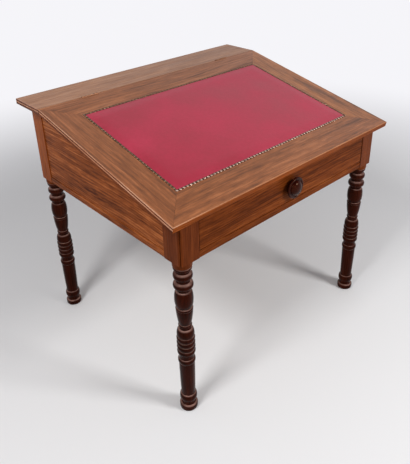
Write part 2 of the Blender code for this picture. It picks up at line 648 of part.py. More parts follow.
def make_drawer(wood, inner_wood, dark_wood, slide):
    """Drawer box with its turned knob, drawn from the middle of its front's lower edge."""
    half = HALF_BAY - DRAWER_GAP
    front_height = TOP_RAIL_BOTTOM - RAIL_TOP - 2 * DRAWER_GAP
    front_low = (-half, 0.0, DRAWER_GAP - DRAWER_RUN_GAP)
    front_high = (half, DRAWER_FRONT_THICKNESS, front_low[2] + front_height)
    front = board("drawer_front", front_low, front_high, wood, slide)

    box_near = DRAWER_FRONT_THICKNESS + JOINT_GAP
    side_inner = half - DRAWER_SIDE_THICKNESS
    groove_low = DRAWER_BOTTOM_RISE
    groove_high = groove_low + DRAWER_BOTTOM_THICKNESS + 2 * FIT_GAP
    groove_back = side_inner + DRAWER_GROOVE_DEPTH
    side_top = front_high[2] - DRAWER_SIDE_DROP
    section = (
        (half, 0.0), (half, side_top), (side_inner, side_top), (side_inner, groove_high),
        (groove_back, groove_high), (groove_back, groove_low), (side_inner, groove_low), (side_inner, 0.0),
    )
    for side, name in ((-1, "left"), (1, "right")):
        outline = [(side * x, z) for x, z in section]
        prism("drawer_side_" + name, outline, "Y", box_near, DRAWER_LENGTH, inner_wood, slide)
    back_half = side_inner - JOINT_GAP
    back_low = (-back_half, DRAWER_LENGTH - DRAWER_BACK_THICKNESS, groove_high)
    board("drawer_back", back_low, (back_half, DRAWER_LENGTH, side_top), inner_wood, slide)
    bottom_half = groove_back - FIT_GAP
    bottom_low = (-bottom_half, box_near, groove_low + FIT_GAP)
    bottom_high = (bottom_half, DRAWER_LENGTH, groove_low + FIT_GAP + DRAWER_BOTTOM_THICKNESS)
    board("drawer_bottom", bottom_low, bottom_high, inner_wood, slide)

    centre = (0.0, 0.0, (front_low[2] + front_high[2]) / 2)
    bore = bmesh.new()
    bore_start = (0.0, -CUT_MARGIN, centre[2])
    bore_end = (0.0, DRAWER_FRONT_THICKNESS + CUT_MARGIN, centre[2])
    add_rod(bore, KNOB_SPIGOT_RADIUS + FIT_GAP, bore_start, bore_end, KNOB_SEGMENTS)
    cut(front, make_cutter("knob_bore", bore, slide))
    bm = bmesh.new()
    add_turned(bm, knob_profile(), KNOB_SEGMENTS)
    knob = make_piece("drawer_knob", bm, dark_wood, slide, centre)
    knob.rotation_euler = (math.pi / 2, 0.0, 0.0)
    shade_round(knob)


def knob_profile():
    """Profile of the knob from the end of its spigot to the tip of its boss."""
    seat = CONTACT_GAP
    rim_back = KNOB_RIM_PROJECTION - KNOB_RIM_THICKNESS
    rim_inner = KNOB_RADIUS - KNOB_RIM_WIDTH
    dish = KNOB_RIM_PROJECTION - KNOB_DISH_DEPTH
    foot_top = seat + KNOB_FOOT_THICKNESS
    band_low = rim_back + (KNOB_RIM_THICKNESS - KNOB_RIM_BAND) / 2
    profile = [(0.0, seat - KNOB_SPIGOT_LENGTH), (KNOB_SPIGOT_RADIUS, seat - KNOB_SPIGOT_LENGTH)]
    profile += [(KNOB_SPIGOT_RADIUS, seat), (KNOB_FOOT_RADIUS, seat), (KNOB_FOOT_RADIUS, foot_top)]
    profile += [(KNOB_NECK_RADIUS, (foot_top + rim_back) / 2), (KNOB_NECK_RADIUS, rim_back)]
    profile += [(rim_inner, rim_back), (KNOB_RADIUS, band_low), (KNOB_RADIUS, band_low + KNOB_RIM_BAND)]
    profile += [(KNOB_RADIUS - KNOB_RIM_WIDTH / 2, KNOB_RIM_PROJECTION), (rim_inner, dish)]
    profile += [(KNOB_BOSS_RADIUS, dish)]
    boss_height = KNOB_PROJECTION - dish
    for index in range(1, BEAD_POINTS):
        angle = math.pi / 2 * index / BEAD_POINTS
        profile.append((KNOB_BOSS_RADIUS * math.cos(angle), dish + boss_height * math.sin(angle)))
    return profile + [(0.0, KNOB_PROJECTION)]


clear_scene()
post_wood = finish("red_brown_walnut", (0.150, 0.048, 0.020), 0.35)
case_wood = finish("brown_walnut", (0.160, 0.060, 0.028), 0.35)
top_wood = finish("pale_walnut", (0.300, 0.140, 0.080), 0.30)
leg_wood = finish("dark_stained_wood", (0.026, 0.011, 0.006), 0.22)
knob_wood = finish("black_brown_wood", (0.020, 0.009, 0.006), 0.22)
box_wood = finish("plain_inner_wood", (0.360, 0.220, 0.115), 0.60)
crimson_leather = finish("crimson_leather", (0.460, 0.040, 0.085), 0.50)
old_brass = finish("old_brass", (0.520, 0.360, 0.140), 0.35, 1.0)

lid_hinge_axis = make_empty("lid_hinge_axis", (0.0, FOLD_Y, SHELF_HEIGHT))
lid_slope_plane = make_empty("lid_slope_plane", (0.0, 0.0, 0.0), lid_hinge_axis, (LID_SLOPE, 0.0, 0.0))
drawer_slide = make_empty("drawer_slide", (0.0, FRONT_Y + DRAWER_INSET, RAIL_TOP + DRAWER_RUN_GAP))

for post_end, end_name in ((-1, "front"), (1, "rear")):
    for post_side, side_name in ((-1, "left"), (1, "right")):
        make_corner(post_side, post_end, end_name + "_" + side_name, post_wood, leg_wood)
for post_side, side_name in ((-1, "left"), (1, "right")):
    make_case_side(post_side, side_name, case_wood, box_wood)
make_case_middle(case_wood, box_wood)
make_shelf(top_wood)
make_lid(top_wood, box_wood, crimson_leather, old_brass, lid_hinge_axis, lid_slope_plane)
make_hinges(old_brass, lid_hinge_axis)
make_drawer(case_wood, box_wood, knob_wood, drawer_slide)
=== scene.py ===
import math
import random

import bmesh
import bpy
from mathutils import Matrix, Vector, noise


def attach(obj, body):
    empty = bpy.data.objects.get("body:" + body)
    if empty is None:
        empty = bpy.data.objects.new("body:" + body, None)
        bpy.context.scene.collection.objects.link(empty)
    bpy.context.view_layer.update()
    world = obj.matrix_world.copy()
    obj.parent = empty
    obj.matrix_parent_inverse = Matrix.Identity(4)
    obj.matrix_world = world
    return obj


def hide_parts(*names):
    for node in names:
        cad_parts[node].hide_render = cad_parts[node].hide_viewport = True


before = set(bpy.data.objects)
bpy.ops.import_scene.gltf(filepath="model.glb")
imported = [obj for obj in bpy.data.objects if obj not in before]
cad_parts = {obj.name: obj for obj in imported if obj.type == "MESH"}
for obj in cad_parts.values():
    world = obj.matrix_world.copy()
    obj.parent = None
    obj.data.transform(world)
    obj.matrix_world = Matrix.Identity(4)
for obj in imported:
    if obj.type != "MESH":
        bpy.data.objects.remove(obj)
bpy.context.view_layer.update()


# Turned legs
# Each leg is one dark stained length of wood from the lathe: rings, a barrel, a cup, four reeds and a
# tapered shaft between a brown collar and a disc foot. A round tenon over the collar is glued into the post.
LEG_SIDES = 72
CURVE_STEPS = 14
COLLAR_TOP = 0.5557
COLLAR_LOW = 0.536
COLLAR_RADIUS = 0.0285
COLLAR_ROUND = 0.006
COLLAR_SLOT = 1
FOOT_HEIGHT = 0.020
FOOT_RADIUS = 0.028
FOOT_ROUND = 0.005
LEG_X = 0.420
LEG_Y = {"front": -0.3375, "rear": 0.3525}
SHARP_ANGLE = math.radians(50)

# Members of the leg from the top down: height, upper radius, lower radius, swelling (hollow where negative)
UPPER_MEMBERS = (
    (0.009, 0.0245, 0.0240, 0.0028),
    (0.010, 0.0210, 0.0205, -0.0008),
    (0.022, 0.0212, 0.0212, 0.0068),
    (0.010, 0.0200, 0.0200, -0.0006),
    (0.021, 0.0215, 0.0220, 0.0073),
    (0.007, 0.0200, 0.0200, 0.0020),
    (0.003, 0.0190, 0.0190, 0.0),
    (0.054, 0.0215, 0.0222, 0.0057),
    (0.003, 0.0205, 0.0205, 0.0),
    (0.009, 0.0225, 0.0228, 0.0030),
    (0.052, 0.0245, 0.0178, 0.0018),
    (0.011, 0.0178, 0.0178, 0.0026),
    (0.007, 0.0178, 0.0178, -0.0005),
    (0.028, 0.0200, 0.0235, 0.0042),
)
REEDS = ((0.0165, 0.0240, 0.0240, 0.0036),) * 4
MIDDLE_MEMBERS = (
    (0.017, 0.0238, 0.0232, -0.0010),
    (0.019, 0.0222, 0.0222, 0.0042),
)
ANKLE_MEMBERS = (
    (0.026, 0.0216, 0.0222, 0.0048),
    (0.015, 0.0214, 0.0222, -0.0012),
)
SHAFT_RADII = (0.0240, 0.0214)
SHAFT_SWELL = 0.0004


def swollen(top, row):
    """Profile of one member: straight, or swollen or hollowed along half an ellipse."""
    height, upper, lower, swelling = row
    if swelling == 0.0:
        return [(upper, top), (lower, top - height)]
    points = []
    for step in range(CURVE_STEPS + 1):
        angle = math.pi * step / CURVE_STEPS
        share = (1 - math.cos(angle)) / 2
        radius = upper + (lower - upper) * share + swelling * math.sin(angle)
        points.append((radius, top - height * share))
    return points


def rounded(radius, start, end, outward):
    """Profile of a quarter round edge of a disc: outward from its flat to its side, or back in."""
    size = abs(end - start)
    steps = CURVE_STEPS // 2
    points = []
    for step in range(steps + 1):
        angle = math.pi / 2 * step / steps
        out, along = math.cos(angle), math.sin(angle)
        if outward:
            out, along = along, 1 - out
        points.append((radius - size * (1 - out), start + (end - start) * along))
    return points


def leg_profile():
    """Profile of the leg from the top of its collar to the floor."""
    profile = [(0.0, COLLAR_TOP), (COLLAR_RADIUS, COLLAR_TOP)]
    profile += rounded(COLLAR_RADIUS, COLLAR_LOW + COLLAR_ROUND, COLLAR_LOW, False)
    upper = UPPER_MEMBERS + REEDS + MIDDLE_MEMBERS
    low_part = FOOT_HEIGHT + sum(row[0] for row in ANKLE_MEMBERS)
    shaft = (COLLAR_LOW - sum(row[0] for row in upper) - low_part, *SHAFT_RADII, SHAFT_SWELL)
    height = COLLAR_LOW
    for row in upper + (shaft,) + ANKLE_MEMBERS:
        profile += swollen(height, row)
        height -= row[0]
    profile += rounded(FOOT_RADIUS, FOOT_HEIGHT, FOOT_HEIGHT - FOOT_ROUND, True)
    profile += rounded(FOOT_RADIUS, FOOT_ROUND, 0.0, False)
    return profile + [(0.0, 0.0)]


def lathe(bm, profile, sides, place):
    """Spin a profile of radius and height about an upright line through a place."""
    rings = []
    for radius, height in profile:
        count = sides if radius > 0.0 else 1
        ring = []
        for side in range(count):
            angle = 2 * math.pi * side / sides
            x = place[0] + radius * math.cos(angle)
            y = place[1] + radius * math.sin(angle)
            ring.append(bm.verts.new((x, y, place[2] + height)))
        rings.append(ring)
    for upper, lower in zip(rings, rings[1:]):
        for side in range(sides):
            after = (side + 1) % sides
            loop = [upper[side % len(upper)], upper[after % len(upper)]]
            loop += [lower[after % len(lower)], lower[side % len(lower)]]
            bm.faces.new(list(dict.fromkeys(loop)))


def shown(name, bm):
    """Turn finished geometry into a piece, with its faces pointing out and its round faces smooth."""
    bm.normal_update()
    bmesh.ops.recalc_face_normals(bm, faces=bm.faces)
    mesh = bpy.data.meshes.new(name)
    bm.to_mesh(mesh)
    bm.free()
    mesh.shade_smooth()
    mesh.set_sharp_from_angle(angle=SHARP_ANGLE)
    piece = bpy.data.objects.new(name, mesh)
    bpy.context.scene.collection.objects.link(piece)
    return piece


def fit(piece, node, body, slot, *finishes):
    """Give a piece its finishes and let it stand for a frame node on a body."""
    for material in finishes:
        piece.data.materials.append(material)
    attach(piece, body)
    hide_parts(node)


def new_finish(name):
    """An empty finish with its node tree and its main shader."""
    material = bpy.data.materials.new(name)
    material.use_nodes = True
    return material, material.node_tree, material.node_tree.nodes["Principled BSDF"]


def put(tree, kind, sockets=None, **settings):
    """Add a node, set its options, and fill or link its sockets."""
    node = tree.nodes.new(kind)
    for key, value in settings.items():
        setattr(node, key, value)
    for key, value in (sockets or {}).items():
        if isinstance(value, bpy.types.NodeSocket):
            tree.links.new(value, node.inputs[key])
        else:
            node.inputs[key].default_value = value
    return node


def sums(tree, *parts):
    """Weighted sum of several values."""
    total = 0.0
    for value, weight in parts:
        sockets = {0: value, 1: weight, 2: total}
        total = put(tree, "ShaderNodeMath", sockets, operation="MULTIPLY_ADD").outputs[0]
    return total


def times(tree, first, second):
    """Product of two values."""
    return put(tree, "ShaderNodeMath", {0: first, 1: second}, operation="MULTIPLY").outputs[0]


def ranged(tree, value, low, high, to_low, to_high):
    """A value moved from one range into another, and held there."""
    sockets = {"Value": value, "From Min": low, "From Max": high, "To Min": to_low, "To Max": to_high}
    return put(tree, "ShaderNodeMapRange", sockets).outputs[0]


def clouded(tree, seat, scale, detail, output="Fac"):
    """Cloudy values over a surface, so many clouds to the metre."""
    sockets = {"Vector": seat, "Scale": scale, "Detail": detail}
    return put(tree, "ShaderNodeTexNoise", sockets).outputs[output]


def ramped(tree, value, tones):
    """Colours from dark to light along a value."""
    ramp = put(tree, "ShaderNodeValToRGB", {"Fac": value})
    stops = ramp.color_ramp.elements
    while len(stops) < len(tones):
        stops.new(0.5)
    for index, tone in enumerate(tones):
        stops[index].position = index / (len(tones) - 1)
        stops[index].color = (*tone, 1.0)
    return ramp.outputs[0]


def blended(tree, share, first, second, way="MIX"):
    """One colour laid over another by a share."""
    sockets = {0: share, 6: first, 7: second}
    return put(tree, "ShaderNodeMix", sockets, data_type="RGBA", blend_type=way).outputs[2]


def raise_relief(tree, shader, strength, depth, height):
    """Give a shader a fine relief of a depth from a height."""
    bump = put(tree, "ShaderNodeBump", {"Strength": strength, "Distance": depth, "Height": height})
    tree.links.new(bump.outputs[0], shader.inputs["Normal"])


# Marks in the wood: length along the grain, width across it, detail
SWAY = (0.60, 0.14, 2.0)
CLOUDS = (0.50, 0.050, 2.0)
STREAKS = (0.20, 0.0052, 4.0)
MOTTLE = (0.050, 0.011, 3.0)
FLECKS = (0.070, 0.0038, 2.0)
FIBRES = (0.040, 0.0016, 2.0)
PORES = (0.011, 0.0008, 1.0)
GRAIN_TURN = {"x": (0.0, 0.0), "y": (0.0, -math.pi / 2), "z": (math.pi / 2, 0.0)}
SWAY_MIDDLE = (0.5, 0.5, 0.5)
SWAY_REACH = (0.0, 0.04, 0.04)
WAVE_UNIT = math.pi / 10
RING_GAP = 0.007
RING_SWAY = 2.5
RING_DETAIL = 2.0

# Shares of the marks in the figure, the spans of their values that show, and how strongly they show
CLOUD_SHARE = 0.38
STREAK_SHARE = 0.33
MOTTLE_SHARE = 0.23
RING_SHARE = 0.06
FIGURE_SPAN = (0.37, 0.61)
PATCH_SPAN = (0.40, 0.60)
PATCH_FADE = 0.60
FLECK_SPAN = (0.52, 0.66)
PORE_SPAN = (0.58, 0.68)
PORE_DEPTH = 0.35
FIBRE_SPAN = (0.30, 0.70)
FIBRE_SHADES = (0.86, 1.12)
POLISH_SPAN = (0.35, 0.65)
FIBRE_RELIEF = 0.6
PORE_RELIEF = -0.8
WOOD_RELIEF = 0.25
WOOD_RELIEF_DEPTH = 0.0003
SHELLAC = (1.0, 0.58, 0.34)


def polished_wood(name, tones, grain, tilt=0.0, polish=(0.30, 0.45), gleam=0.2, tint=SHELLAC, flecked=0.5,
                  start=0.0, worn_and_lit_from_left=None):
    """Wood with clouds, rings, dark flecks, fibres and pores along its grain, under an old polish."""
    material, tree, shader = new_finish(name)
    seat = put(tree, "ShaderNodeTexCoord").outputs["Object"]
    turn = (-tilt, *GRAIN_TURN[grain])
    cut = {"Vector": seat, "Rotation": turn, "Location": (start, start, start)}
    seat = put(tree, "ShaderNodeMapping", cut).outputs[0]

    def drawn_out(source, mark, output="Fac"):
        length, width, detail = mark
        pull = {0: source, 1: (1 / length, 1 / width, 1 / width)}
        vector = put(tree, "ShaderNodeVectorMath", pull, operation="MULTIPLY").outputs[0]
        return clouded(tree, vector, 1.0, detail, output)

    bend = {0: drawn_out(seat, SWAY, "Color"), 1: SWAY_MIDDLE}
    sway = put(tree, "ShaderNodeVectorMath", bend, operation="SUBTRACT").outputs[0]
    shift = {0: sway, 1: SWAY_REACH, 2: seat}
    swayed = put(tree, "ShaderNodeVectorMath", shift, operation="MULTIPLY_ADD").outputs[0]
    clouds = drawn_out(swayed, CLOUDS)
    streaks = drawn_out(swayed, STREAKS)
    mottle = drawn_out(swayed, MOTTLE)
    flecks = drawn_out(swayed, FLECKS)
    fibres = drawn_out(swayed, FIBRES)
    pores = drawn_out(seat, PORES)
    waves = {"Vector": swayed, "Scale": WAVE_UNIT / RING_GAP, "Distortion": RING_SWAY, "Detail": RING_DETAIL}
    rings = put(tree, "ShaderNodeTexWave", waves, wave_type="RINGS", rings_direction="X").outputs["Fac"]

    figure = sums(tree, (clouds, CLOUD_SHARE), (streaks, STREAK_SHARE), (mottle, MOTTLE_SHARE),
                  (rings, RING_SHARE))
    figure = ranged(tree, figure, *FIGURE_SPAN, 0.0, 1.0)
    # With a range across, the figure fades to the darkest tone towards the right: wear and a painted
    # highlight strongest at the left on the front arris, and painted shade towards the right on the lid's
    # front face
    if worn_and_lit_from_left:
        across = put(tree, "ShaderNodeSeparateXYZ", {0: seat}).outputs["X"]
        figure = times(tree, figure, ranged(tree, across, *worn_and_lit_from_left, 1.0, 0.0))
    colour = ramped(tree, figure, tones)
    patches = ranged(tree, clouds, *PATCH_SPAN, flecked, PATCH_FADE * flecked)
    marks = times(tree, ranged(tree, flecks, *FLECK_SPAN, 0.0, 1.0), patches)
    specks = ranged(tree, pores, *PORE_SPAN, 0.0, PORE_DEPTH)
    for mask in (marks, specks):
        colour = blended(tree, mask, colour, (*tones[0], 1.0))
    shade = ranged(tree, fibres, *FIBRE_SPAN, *FIBRE_SHADES)
    colour = blended(tree, 1.0, colour, shade, "MULTIPLY")
    tree.links.new(colour, shader.inputs["Base Color"])
    dullness = ranged(tree, streaks, *POLISH_SPAN, polish[1], polish[0])
    tree.links.new(dullness, shader.inputs["Roughness"])
    shader.inputs["Specular IOR Level"].default_value = gleam
    shader.inputs["Specular Tint"].default_value = (*tint, 1.0)
    height = sums(tree, (fibres, FIBRE_RELIEF), (specks, PORE_RELIEF))
    raise_relief(tree, shader, WOOD_RELIEF, WOOD_RELIEF_DEPTH, height)
    return material


# Painted glint on the legs: a pale tone laid on the upward flanks of the rings in place of their highlights
GLINT_TONE = (0.440, 0.255, 0.210)
GLINT_FACING = (0.38, 0.90)
GLINT_DEPTHS = (0.165, 0.55)
GLINT_CLOUDS = 40.0
GLINT_DETAIL = 2.0
GLINT_SPAN = (0.35, 0.60)


def paint_glints_on_flanks(material):
    """Paint a pale glint, patchy with clouds, on the flanks of the turnings that face up, where light
    catches the rings.
    """
    tree = material.node_tree
    base = tree.nodes["Principled BSDF"].inputs["Base Color"]
    seat = put(tree, "ShaderNodeTexCoord").outputs
    upward = put(tree, "ShaderNodeSeparateXYZ", {0: seat["Normal"]}).outputs["Z"]
    patches = clouded(tree, seat["Object"], GLINT_CLOUDS, GLINT_DETAIL)
    depth = ranged(tree, patches, *GLINT_SPAN, *GLINT_DEPTHS)
    mask = ranged(tree, upward, *GLINT_FACING, 0.0, depth)
    tree.links.new(blended(tree, mask, base.links[0].from_socket, (*GLINT_TONE, 1.0)), base)


LEG_TONES = ((0.012, 0.0014, 0.0006), (0.023, 0.0026, 0.0010),
             (0.032, 0.0040, 0.0015), (0.048, 0.0078, 0.0028))
POST_TONES = ((0.072, 0.0145, 0.0030), (0.104, 0.0212, 0.0044),
              (0.133, 0.0282, 0.0060), (0.170, 0.0395, 0.0096))
leg_wood = polished_wood("dark_stained_leg", LEG_TONES, "z", polish=(0.11, 0.16), gleam=0.07)
# The rings of the legs carry a painted glint on their upward flanks
paint_glints_on_flanks(leg_wood)
post_wood = polished_wood("red_brown_post", POST_TONES, "z", polish=(0.24, 0.36), gleam=0.04, flecked=0.25)

for end, leg_y in LEG_Y.items():
    for side, leg_x in (("left", -LEG_X), ("right", LEG_X)):
        turned = bmesh.new()
        lathe(turned, leg_profile(), LEG_SIDES, (leg_x, leg_y, 0.0))
        leg = shown(f"leg_{end}_{side}", turned)
        for face in leg.data.polygons:
            if face.center.z > COLLAR_LOW:
                face.material_index = COLLAR_SLOT
        fit(leg, f"turned_leg_{end}_{side}", "case", "leg_wood", leg_wood, post_wood)


# Corner posts
# The posts are square lengths of wood over the legs, red brown in front and amber behind, the amber a paler
# copy that paints the light falling on the rear pair, and the panels and rails meet their inner sides. The
# outer corner of each is rounded and split by a quirk, its pale arrises partly rubbed and partly a painted
# highlight, and the front pair is cut at the top to the slope of the lid.
POST_SIZE = 0.068
POST_OUT_X = 0.450
POST_OUT_Y = {"front": -0.3675, "rear": 0.3825}
POST_LOW = 0.556
CORNER_RADIUS = 0.011
CORNER_STEPS = 8
QUIRK_ANGLE = math.radians(9)
QUIRK_DEPTH = 0.0035
POST_EASE = 0.0014
EASE_STEPS = 3
ARRIS_SLOT = 1
SAME_FINISH = -1
SHELF_TOP = 0.850
TOP_THICKNESS = 0.018
FOLD_Y = 0.2465
LID_RISE = 0.142
LID_RUN = 0.637
LID_SLOPE = math.atan2(LID_RISE, LID_RUN)
SEAT_GAP = 0.0003
LONG_EDGE = 0.020
EDGE_ANGLE = math.radians(30)


def case_top(y):
    """Height of the case under the lid or under the shelf."""
    under_lid = SHELF_TOP - (FOLD_Y - y) * math.tan(LID_SLOPE) - TOP_THICKNESS / math.cos(LID_SLOPE)
    return min(under_lid, SHELF_TOP - TOP_THICKNESS) - SEAT_GAP


def post_plan(side, end):
    """Plan of a post, from its quirked outer corner round to its inner corners."""
    step = (math.pi / 4 - QUIRK_ANGLE) / CORNER_STEPS
    quirk = CORNER_RADIUS * (1 - math.sqrt(0.5)) + QUIRK_DEPTH * math.sqrt(0.5)
    arc = []
    for index in range(CORNER_STEPS + 1):
        angle = step * index
        arc.append((CORNER_RADIUS * (1 - math.sin(angle)), CORNER_RADIUS * (1 - math.cos(angle))))
    plan = arc + [(quirk, quirk)] + [(v, u) for u, v in reversed(arc)]
    plan += [(0.0, POST_SIZE), (POST_SIZE, POST_SIZE), (POST_SIZE, 0.0)]
    along = 1 if end == "rear" else -1
    return [(side * (POST_OUT_X - u), POST_OUT_Y[end] - along * v) for u, v in plan]


def mark_arrises(bm, width_at):
    """Mark the long outer edges of a board with the widths to which they are rounded; give the widest."""
    weights = bm.edges.layers.float.new("bevel_weight_edge")
    bm.normal_update()
    bmesh.ops.recalc_face_normals(bm, faces=bm.faces)
    found = {}
    for edge in bm.edges:
        if edge.is_convex and edge.calc_length() > LONG_EDGE and edge.calc_face_angle(0.0) > EDGE_ANGLE:
            found[edge] = width_at((edge.verts[0].co + edge.verts[1].co) / 2)
    widest = max(found.values())
    for edge, width in found.items():
        edge[weights] = width / widest if widest else 0.0
    return widest


def ease_edges(piece, width, arris=SAME_FINISH):
    """Round the marked edges, as a plane and years of use leave them, in the finish of a numbered slot."""
    bevel = piece.modifiers.new("eased", "BEVEL")
    bevel.width = width
    bevel.segments = EASE_STEPS
    bevel.limit_method = "WEIGHT"
    bevel.harden_normals = True
    bevel.material = arris


# Pale arrises of the posts: partly rubbed wear, partly a painted highlight along the edges
PALE_POST_TONES = ((0.120, 0.034, 0.0110), (0.240, 0.072, 0.0240),
                   (0.310, 0.100, 0.0360), (0.400, 0.145, 0.0560))
# Rear posts: a paler amber copy of the post wood, painted light where the light falls on them
LIT_AMBER_TONES = ((0.110, 0.0235, 0.0042), (0.208, 0.0465, 0.0078),
               (0.260, 0.0595, 0.0104), (0.335, 0.0870, 0.0180))
post_arris = polished_wood("rubbed_and_highlit_post_arris", PALE_POST_TONES, "z", polish=(0.22, 0.32), gleam=0.04,
                           flecked=0.2)
lit_amber_post = polished_wood("lit_amber_post", LIT_AMBER_TONES, "z", polish=(0.24, 0.36), gleam=0.04, flecked=0.25)

for end in POST_OUT_Y:
    for side_name, side in (("left", -1), ("right", 1)):
        sawn = bmesh.new()
        plan = post_plan(side, end)
        low_ring = [sawn.verts.new((x, y, POST_LOW)) for x, y in plan]
        top_ring = [sawn.verts.new((x, y, case_top(y))) for x, y in plan]
        sawn.faces.new(low_ring)
        sawn.faces.new(top_ring)
        for index in range(len(plan)):
            after = (index + 1) % len(plan)
            sawn.faces.new((low_ring[index], low_ring[after], top_ring[after], top_ring[index]))
        mark_arrises(sawn, lambda spot: POST_EASE)
        post = shown(f"post_{end}_{side_name}", sawn)
        ease_edges(post, POST_EASE, ARRIS_SLOT)
        # The rear posts take the amber copy, a painted light
        wood = post_wood if end == "front" else lit_amber_post
        fit(post, f"corner_post_{end}_{side_name}", "case", "post_wood", wood, post_arris)


# Sides of the case
# Each side is a brown walnut panel over a narrow bottom rail, let in between the posts. The panel lies a
# little deeper than the posts and its edges are eased, so that a dark line shows along each post.
PANEL_EASE = 0.0013
FLAT_ANGLE = math.radians(1)
WELD = 0.00001


def planed(node, name, width_at, arris=SAME_FINISH):
    """The board of a frame node, its long edges eased to the widths that a rule gives for their middles."""
    bm = bmesh.new()
    bm.from_mesh(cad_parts[node].data)
    bmesh.ops.remove_doubles(bm, verts=bm.verts, dist=WELD)
    bmesh.ops.dissolve_limit(bm, angle_limit=FLAT_ANGLE, verts=bm.verts, edges=bm.edges)
    widest = mark_arrises(bm, width_at)
    piece = shown(name, bm)
    piece.data.set_sharp_from_angle(angle=FLAT_ANGLE)
    cad_normals = piece.data.attributes.get("custom_normal")
    if cad_normals:
        piece.data.attributes.remove(cad_normals)
    piece.data.materials.clear()
    if widest:
        ease_edges(piece, widest, arris)
    return piece


CASE_TONES = ((0.060, 0.0132, 0.0038), (0.172, 0.0415, 0.0090),
              (0.282, 0.0720, 0.0165), (0.440, 0.1380, 0.0410))
side_wood = polished_wood("brown_side", CASE_TONES, "y", polish=(0.28, 0.40), gleam=0.04, flecked=0.50)

for side_name in ("left", "right"):
    panel = planed(f"side_panel_{side_name}", f"side_board_{side_name}", lambda spot: PANEL_EASE)
    fit(panel, f"side_panel_{side_name}", "case", "case_wood", side_wood)
    rail = planed(f"side_rail_{side_name}", f"side_strip_{side_name}", lambda spot: PANEL_EASE)
    fit(rail, f"side_rail_{side_name}", "case", "case_wood", side_wood)


# Front and back of the case
# Narrow rails close the front under and over the drawer, a rail and a panel close the back, and one rail
# stands under the fold, all glued in between the posts. The compartment floor is a plain board that lies on
# cleats. The grain of all of them runs across the desk.
RAIL_EASE = 0.0011
FRONT_TONES = ((0.064, 0.0132, 0.0024), (0.123, 0.0265, 0.0045),
               (0.180, 0.0405, 0.0070), (0.258, 0.0680, 0.0140))
BOX_TONES = ((0.190, 0.110, 0.052), (0.290, 0.180, 0.092),
             (0.370, 0.240, 0.130), (0.450, 0.310, 0.180))
front_wood = polished_wood("brown_front", FRONT_TONES, "x", polish=(0.28, 0.40), gleam=0.03, flecked=0.26)
plain_x = polished_wood("plain_wood_across", BOX_TONES, "x", polish=(0.55, 0.70), gleam=0.3, flecked=0.2)

for node, name, slot, wood in (
    ("front_bottom_rail", "front_strip", "case_wood", front_wood),
    ("front_top_rail", "front_rail_over_drawer", "case_wood", front_wood),
    ("back_bottom_rail", "back_strip", "case_wood", front_wood),
    ("back_panel", "back_board", "box_wood", front_wood),
    ("fold_rail", "rail_under_fold", "case_wood", front_wood),
    ("compartment_floor", "compartment_board", "box_wood", plain_x),
):
    fit(planed(node, name, lambda spot: RAIL_EASE), node, "case", slot, wood)


# Strips inside the case
# Plain strips are screwed and glued inside: cleats that carry the compartment floor, guides and runners for
# the drawer, and two stop blocks behind it. They are left unpolished, with the grain along each strip.
STRIP_EASE = 0.0008
plain_y = polished_wood("plain_wood_along", BOX_TONES, "y", polish=(0.55, 0.70), gleam=0.3, flecked=0.2)

for strip in ("floor_cleat", "drawer_guide", "drawer_runner", "drawer_stop"):
    for side_name in ("left", "right"):
        node = f"{strip}_{side_name}"
        board = planed(node, f"{strip}_strip_{side_name}", lambda spot: STRIP_EASE)
        fit(board, node, "case", "box_wood", plain_y)


# Rear shelf
# The flat shelf is one walnut board glued on the case. It stands over the sides and the back with rounded
# arrises, pale with wear and a painted highlight, a quirk along each end, and the hinges of the lid let into
# its front edge.
HALF_TOP = 0.486
SHELF_REAR = 0.3985
LID_FRONT = -0.3800
TOP_EASE = 0.0022
FACING = 0.9
END_SLOT = 2
QUIRK_LINES = (0.0064, 0.0086, 0.0110)
QUIRK_IN = 0.0022
END_QUIRK_STOP = 1.5
WAX = (1.0, 0.92, 0.84)


def rubbed_round(spot):
    """Width to which an upper edge of the shelf or lid is rubbed, none below or where two boards meet."""
    surface = min(SHELF_TOP, SHELF_TOP - (FOLD_Y - spot.y) * math.tan(LID_SLOPE))
    if spot.z < surface - TOP_THICKNESS / 2:
        return 0.0
    at_end = abs(spot.x) > HALF_TOP - TOP_EASE
    at_rear = spot.y > SHELF_REAR - TOP_EASE
    return TOP_EASE if at_end or at_rear or spot.y < LID_FRONT else 0.0


def darken_ends(piece):
    """Give the faces at the left and right of a board the finish of its ends."""
    for face in piece.data.polygons:
        if abs(face.normal.x) > FACING:
            face.material_index = END_SLOT


